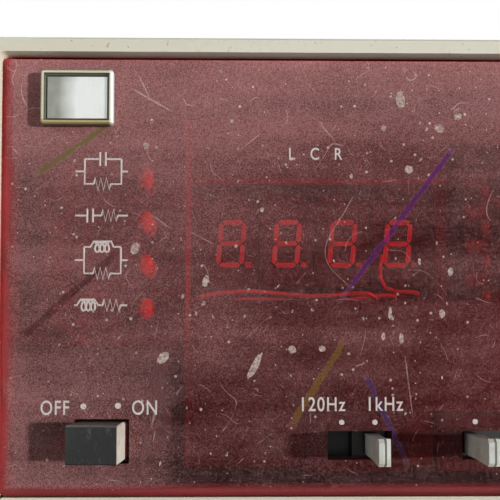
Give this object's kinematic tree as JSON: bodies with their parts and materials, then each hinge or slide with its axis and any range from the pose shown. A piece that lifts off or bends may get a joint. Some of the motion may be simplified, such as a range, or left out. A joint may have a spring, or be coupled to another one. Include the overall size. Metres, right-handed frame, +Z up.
{
  "type": "lcr bridge",
  "caption": "Half-rack bench instrument with a red display window, slide levers, a power rocker and a binding-post panel in a cast and sheet-metal cabinet.",
  "frame": {"origin": "middle of the footprint, on the bench", "axes": "+Z up, front panel towards -Y, depth along Y"},
  "size_m": [0.213, 0.3456, 0.147],
  "materials": {
    "cream_paint": "satin",
    "red_acrylic": "gloss",
    "panel_paint": "satin",
    "badge_metal": "brushed",
    "badge_face": "brushed",
    "mask_black": "matte",
    "circuit_board": "satin",
    "red_lens": "gloss",
    "wire_sleeve": "satin",
    "switch_black": "satin",
    "lever_ivory": "satin",
    "cap_black": "gloss",
    "bare_aluminium": "satin",
    "olive_grey_paint": "textured paint",
    "foot_grey": "matte",
    "stand_steel": "bright",
    "lamination_steel": "varnished"
  },
  "bodies": {
    "root": {"front_frame": "cream_paint", "rear_frame": "cream_paint", "display_window": "red_acrylic", "terminal_panel": "panel_paint", "badge_bezel": "badge_metal", "badge_plate": "badge_face", "display_mask": "mask_black", "display_board": "circuit_board", "main_board": "circuit_board", "digit_1": "red_lens", "digit_2": "red_lens", "digit_3": "red_lens", "digit_4": "red_lens", "loss_display": "red_lens", "mode_lamp_1": "red_lens", "mode_lamp_2": "red_lens", "mode_lamp_3": "red_lens", "mode_lamp_4": "red_lens", "unit_lamp_strip": "red_lens", "display_wires": "wire_sleeve", "power_switch_body": "switch_black", "frequency_switch_body": "switch_black", "bias_switch_body": "switch_black", "function_switch_body": "switch_black", "circuit_switch_body": "switch_black", "test_button_body": "switch_black", "terminal_block": "switch_black", "power_inlet": "switch_black", "fuse_holder": "switch_black", "voltage_selector": "switch_black", "side_frame_left": "bare_aluminium", "side_frame_right": "bare_aluminium", "rear_panel": "bare_aluminium", "zero_pot_left": "bare_aluminium", "zero_pot_right": "bare_aluminium", "top_cover": "olive_grey_paint", "bottom_cover": "olive_grey_paint", "side_cover_left": "olive_grey_paint", "side_cover_right": "olive_grey_paint", "front_foot_left": "foot_grey", "front_foot_right": "foot_grey", "rear_foot_left": "foot_grey", "rear_foot_right": "foot_grey", "power_transformer": "lamination_steel"},
    "power_key": {"power_rocker": "switch_black"},
    "frequency_slider": {"frequency_lever": "lever_ivory"},
    "bias_slider": {"bias_lever": "lever_ivory"},
    "function_slider": {"function_lever": "lever_ivory"},
    "circuit_slider": {"circuit_lever": "lever_ivory"},
    "test_plunger": {"test_button": "lever_ivory"},
    "terminal_nut_1": {"terminal_cap_1": "cap_black"},
    "terminal_nut_2": {"terminal_cap_2": "cap_black"},
    "terminal_nut_3": {"terminal_cap_3": "cap_black"},
    "terminal_nut_4": {"terminal_cap_4": "cap_black"},
    "terminal_nut_5": {"terminal_cap_5": "cap_black"},
    "zero_dial_left": {"zero_knob_left": "cap_black"},
    "zero_dial_right": {"zero_knob_right": "cap_black"},
    "fuse_plug": {"fuse_cap": "switch_black"},
    "voltage_shoe": {"voltage_slide": "lever_ivory"},
    "stand": {"tilt_stand": "stand_steel"}
  },
  "joints": [
    {"name": "power_rock", "type": "hinge", "parent": "root", "child": "power_key", "pos_m": [-0.0814, -0.15045, 0.0633], "axis": [0, 0, 1], "range_deg": [0, 10]},
    {"name": "frequency_slide", "type": "slide", "parent": "root", "child": "frequency_slider", "axis": [1, 0, 0], "range_m": [-0.00686, 0]},
    {"name": "bias_slide", "type": "slide", "parent": "root", "child": "bias_slider", "axis": [1, 0, 0], "range_m": [0, 0.02744]},
    {"name": "function_slide", "type": "slide", "parent": "root", "child": "function_slider", "axis": [1, 0, 0], "range_m": [0, 0.01372]},
    {"name": "circuit_slide", "type": "slide", "parent": "root", "child": "circuit_slider", "axis": [1, 0, 0], "range_m": [0, 0.00686]},
    {"name": "test_press", "type": "slide", "parent": "root", "child": "test_plunger", "axis": [0, 1, 0], "range_m": [0, 0.0025], "stiffness_N_per_m": 300, "springref_m": -0.001},
    {"name": "terminal_turn_1", "type": "hinge", "parent": "root", "child": "terminal_nut_1", "pos_m": [-0.0131, -0.16515, 0.0358], "axis": [0, -1, 0], "range_deg": [0, 720]},
    {"name": "terminal_turn_2", "type": "hinge", "parent": "root", "child": "terminal_nut_2", "pos_m": [0.00595, -0.16515, 0.0358], "axis": [0, -1, 0], "range_deg": [0, 720]},
    {"name": "terminal_turn_3", "type": "hinge", "parent": "root", "child": "terminal_nut_3", "pos_m": [0.025, -0.16515, 0.0358], "axis": [0, -1, 0], "range_deg": [0, 720]},
    {"name": "terminal_turn_4", "type": "hinge", "parent": "root", "child": "terminal_nut_4", "pos_m": [0.04405, -0.16515, 0.0358], "axis": [0, -1, 0], "range_deg": [0, 720]},
    {"name": "terminal_turn_5", "type": "hinge", "parent": "root", "child": "terminal_nut_5", "pos_m": [0.0631, -0.16515, 0.0358], "axis": [0, -1, 0], "range_deg": [0, 720]},
    {"name": "zero_turn_left", "type": "hinge", "parent": "root", "child": "zero_dial_left", "pos_m": [-0.0835, -0.16015, 0.0358], "axis": [0, 1, 0], "range_deg": [-140, 140]},
    {"name": "zero_turn_right", "type": "hinge", "parent": "root", "child": "zero_dial_right", "pos_m": [-0.0595, -0.16015, 0.0358], "axis": [0, 1, 0], "range_deg": [-140, 140]},
    {"name": "fuse_turn", "type": "hinge", "parent": "root", "child": "fuse_plug", "pos_m": [0.0145, 0.16485, 0.0484], "axis": [0, 1, 0], "range_deg": [0, 60]},
    {"name": "voltage_select", "type": "slide", "parent": "root", "child": "voltage_shoe", "axis": [1, 0, 0], "range_m": [0, 0.005]},
    {"name": "stand_swing", "type": "hinge", "parent": "root", "child": "stand", "pos_m": [0, -0.11265, 0.008], "axis": [-1, 0, 0], "range_deg": [0, 78]}
  ]
}
